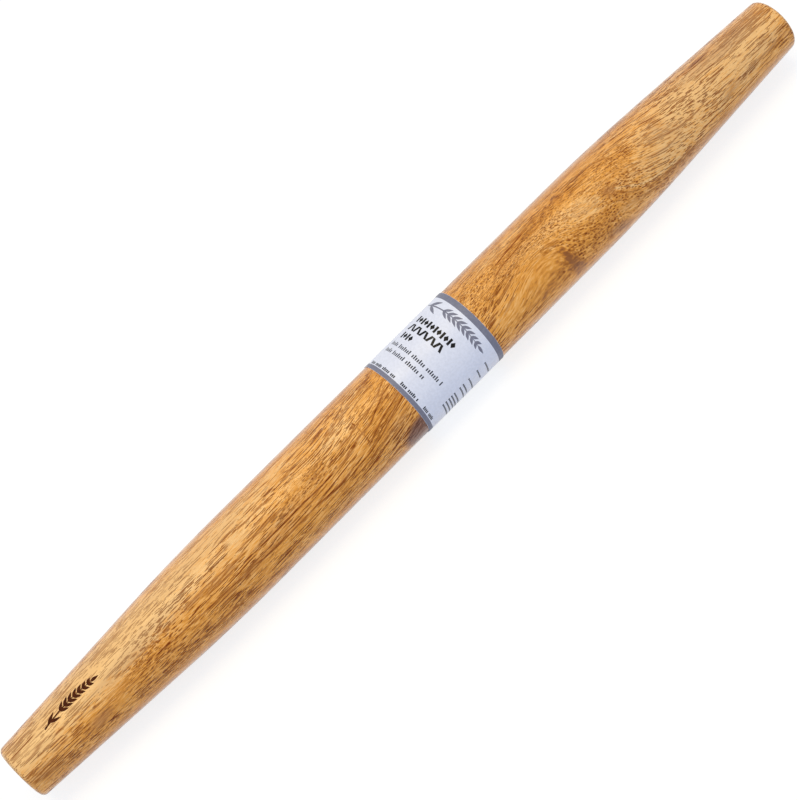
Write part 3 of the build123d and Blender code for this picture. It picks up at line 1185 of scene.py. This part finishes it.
class PrintBand(bpy.types.Operator):
    """Print the band: borders, an ear of wheat, bold rows, fine rows and ticks."""

    bl_idname = "rolling_pin.print_band"
    bl_label = "Print the Band"

    def execute(self, context):
        """Each kind of ink is one piece."""
        inks, shine = settings("print"), 0.2
        left, right = band_low.x / MM, band_high.x / MM
        for name, shapes, shade, spread in (
            ("slate_print", self.borders(left, right) + self.sprig(), inks.slate, 0.06),
            ("black_print", self.bold_rows(), inks.black, 0.10),
            ("small_print", self.fine_rows() + self.ticks(left) + self.side_rows(), inks.small, 0.10),
        ):
            ink = coated_paper(name, shade, spread, shine)
            lay_print(name, shapes, on_band, ink, "band")
        return {"FINISHED"}

    def borders(self, left, right):
        """A narrow border at the band's left edge and a wide one at its right edge, all the way round."""
        bare_edge, narrow, wide, seam = 0.06, 2.0, 2.85, 0.002
        barrel = settings("pin").barrel_diameter / 2 / MM
        lap_turn = math.pi - settings("band").front_angle - lap_angles()[3]
        along, up = np.meshgrid(np.linspace(seam, 1 - seam, 400), np.linspace(-0.5, 0.5, 4), indexing="ij")
        u = (2 * math.pi * along - lap_turn) * barrel
        middles = (left + bare_edge + narrow / 2, narrow), (right - bare_edge - wide / 2, wide)
        return [np.stack([u, middle + height * up], axis=-1)[None] for middle, height in middles]

    def sprig(self):
        """The ear of wheat with two leaves at its foot."""
        wheat = ear(-25.5, 27.2, reach=35, bend=0.9, pairs=8, grain_reach=4.7, grain_width=1.3)
        upper = grains([-23.5], [27.4], reach=7.5, width=1.7, slant=28, rows=14)
        lower = grains([-22.5], [27.2], reach=7, width=1.6, slant=-24, rows=14)
        return [*wheat, upper, lower]

    def bold_rows(self):
        """Two rows of upright bars and diamonds by turns, and a zigzag row between them."""
        begin, pitch, height = -21.4, 4.0, 3.4
        rows = []
        for v, cells in ((19.5, 6), (9.9, 2)):
            u = begin + pitch * np.arange(cells)
            rows.append(bars(u, v, width=1.15, height=height))
            rows.append(diamonds(u + pitch / 2, v, width=2.3, height=0.9 * height))
        strokes, zigzag_pitch, zigzag_v, lean = np.arange(10), 2.15, 14.8, 1.2
        leans = np.where(strokes % 2 == 0, lean, -lean)
        rows.append(slanted(begin + zigzag_pitch * strokes, zigzag_v, width=1.2, height=height, lean=leans))
        return rows

    def fine_rows(self):
        """Two rows of small bars of two heights, with gaps like those between words."""
        first, pitch, width, heights = -23.0, 1.05, 0.58, (2.0, 1.45)
        rows = []
        for last, foot in ((10.5, 3.8), (3.2, 0)):
            rows.append(small_print(first, last, foot, pitch, width, heights, tall_every=3, word=8, gap=5))
        return rows

    def ticks(self, left):
        """Three groups of ticks beside the left border."""
        foot, pitch, width, heights = left + 2.45, 0.86, 0.60, (1.6, 1.25)
        rows = []
        for first, last in ((-23.9, -6.7), (-3.3, 7.6), (11.0, 20.6)):
            rows.append(small_print(first, last, foot, pitch, width, heights, tall_every=4, word=6, gap=4))
        return rows

    def side_rows(self):
        """Short fine rows far round the side, each a place along the pin and a reach round it."""
        first, pitch, width, height = 17.6, 1.15, 0.92, 0.72
        places = (0.1, 1.9, 3.7, 5.3, 7.0, 10.3, 12.3, 15.7, 20.7, 25.5)
        reaches = (13, 15, 11, 15, 12, 14, 9, 12, 8, 10)
        rows = []
        for v, reach in zip(places, reaches):
            rows.append(bars(first + pitch * np.arange(int(reach / pitch)), v, width, height))
        return rows


class BurnSprig(bpy.types.Operator):
    """Burn a small ear of wheat into the wood near the -X end."""

    bl_idname = "rolling_pin.burn_sprig"
    bl_label = "Burn the Sprig"

    def execute(self, context):
        """The ear runs along the pin, so its u is x and its v goes up round the pin."""
        start, middle_turn, height = -208.5 * MM, math.radians(27), 0.012 * MM

        def on_wood(u, v):
            """A place of the sprig on the wood."""
            x = start + u
            radius = pin_radius(x)
            return on_surface(x, middle_turn + v / radius, radius + height)

        wheat = ear(0, -0.6, reach=27, bend=1.2, pairs=7, grain_reach=4.3, grain_width=1.45)
        upper = grains([2], [-0.2], reach=6, width=1.4, slant=26, rows=14)
        lower = grains([3], [0], reach=5.6, width=1.3, slant=-20, rows=14)
        lay_print("burned_sprig", [*wheat, upper, lower], on_wood, scorched_wood(), "pin")
        return {"FINISHED"}


class SetStage(bpy.types.Operator):
    """Set the stage: floor, sky, lamp and camera."""

    bl_idname = "rolling_pin.set_stage"
    bl_label = "Set the Stage"

    def execute(self, context):
        """The pin lies on a pale floor, and the camera stands where the photograph was taken."""
        stage = settings("stage")
        self.lay_floor()
        self.light_sky(stage)
        self.hang_lamp(stage)
        self.set_camera(stage)
        context.scene.view_settings.view_transform = "Standard"
        return {"FINISHED"}

    def lay_floor(self):
        """A flat floor under the pin. The eye sees it white, less the pin's soft shadow."""
        half, low = 6.0, cad_box[0].z
        corners = np.array([[-half, -half, low], [half, -half, low], [half, half, low], [-half, half, low]])
        floor = make_object("floor", corners, [np.array([[0, 1, 2, 3]])])
        wires = new_wires("floor_white")
        wires.finish(Base_Color=(0.80, 0.80, 0.80), Roughness=0.9)
        shaded = wires.add("BsdfDiffuse", {"Color": (0.28, 0.28, 0.28)})
        glow = wires.add("Emission", {"Color": (1, 1, 1), "Strength": 0.80})
        both = wires.add("AddShader", {0: shaded.outputs[0], 1: glow.outputs[0]})
        self.show_eye(wires, "Material Output", wires.shader, both)
        floor.data.materials.append(wires.owner)

    def show_eye(self, wires, output, light, eye):
        """Gives the output one shader for light, and another for what the eye sees.

        The eye also sees by way of a reflection or through glass.
        """
        rays = wires.add("LightPath").outputs
        seen = wires.largest(rays["Is Camera Ray"], rays["Is Glossy Ray"], rays["Is Transmission Ray"])
        choose = wires.add("MixShader", {0: seen, 1: light.outputs[0], 2: eye.outputs[0]})
        wires.put(wires.tree.nodes[output].inputs["Surface"], choose.outputs[0])

    def light_sky(self, stage):
        """Even light from all round, which the eye sees as white."""
        wires = Wires(bpy.data.worlds.new("studio_sky"))
        bpy.context.scene.world = wires.owner
        sky = wires.tree.nodes["Background"]
        wires.put(sky.inputs["Color"], stage.sky_colour)
        wires.put(sky.inputs["Strength"], stage.sky_strength)
        white = wires.add("Background", {"Color": (1, 1, 1), "Strength": 1})
        self.show_eye(wires, "World Output", sky, white)

    def hang_lamp(self, stage):
        """One large soft lamp above the pin, turned towards its middle."""
        lamp = bpy.data.lights.new("key", "AREA")
        lamp.shape, lamp.size, lamp.size_y = "RECTANGLE", 1.1, 0.7
        lamp.energy, lamp.color = stage.key_energy, stage.key_colour
        distance = 1.3
        place = Vector(on_surface(0, stage.key_turn, distance))
        made = show("key", lamp)
        made.location = place
        made.rotation_mode = "QUATERNION"
        made.rotation_quaternion = (-place).to_track_quat("-Z", "Y")

    def set_camera(self, stage):
        """The camera looks straight at the axis from the printed front, and is then turned."""
        lens = bpy.data.cameras.new("camera")
        lens.sensor_width, lens.lens = 36.0, stage.lens
        lens.clip_start, lens.clip_end = 0.05, 50.0
        made = show("camera", lens)
        tilt = settings("band").front_angle
        up, out = (0, math.sin(tilt), math.cos(tilt)), (0, -math.cos(tilt), math.sin(tilt))
        facing = Matrix(((1, 0, 0), up, out)).transposed()
        turned = (
            Matrix.Rotation(stage.camera_yaw, 3, "Y")
            @ Matrix.Rotation(stage.camera_pitch, 3, "X")
            @ Matrix.Rotation(stage.camera_roll, 3, "Z")
        )
        place = Vector((stage.camera_x, 0, 0)) + stage.camera_distance * Vector(out)
        made.matrix_world = Matrix.Translation(place) @ (facing @ turned).to_4x4()
        bpy.context.scene.camera = made


STEPS = (TurnPin, BurnSprig, WrapBand, PrintBand, SetStage)
GROUPS = {
    "pin": PinSizes,
    "wood": WoodFinish,
    "band": BandSizes,
    "print": PrintColours,
    "stage": StageSettings,
}


class RollingPinPanel(bpy.types.Panel):
    """Lists the steps that make the rolling pin."""

    bl_idname = "VIEW3D_PT_rolling_pin"
    bl_label = "Rolling Pin"
    bl_space_type = "VIEW_3D"
    bl_region_type = "UI"
    bl_category = "Rolling Pin"

    def draw(self, context):
        """One button for each step."""
        for step in STEPS:
            self.layout.operator(step.bl_idname)


CLASSES = (*GROUPS.values(), *STEPS, RollingPinPanel)


def register():
    """Adds the classes, and the settings to the scene."""
    for one in CLASSES:
        bpy.utils.register_class(one)
    for name, group in GROUPS.items():
        setattr(bpy.types.Scene, "rolling_pin_" + name, bpy.props.PointerProperty(type=group))


def unregister():
    """Takes them away again."""
    for name in GROUPS:
        delattr(bpy.types.Scene, "rolling_pin_" + name)
    for one in reversed(CLASSES):
        bpy.utils.unregister_class(one)


def main():
    """Makes every piece and the stage."""
    register()
    bpy.ops.rolling_pin.turn_pin()
    bpy.ops.rolling_pin.burn_sprig()
    bpy.ops.rolling_pin.wrap_band()
    bpy.ops.rolling_pin.print_band()
    bpy.ops.rolling_pin.set_stage()


if __name__ == "__main__":
    main()
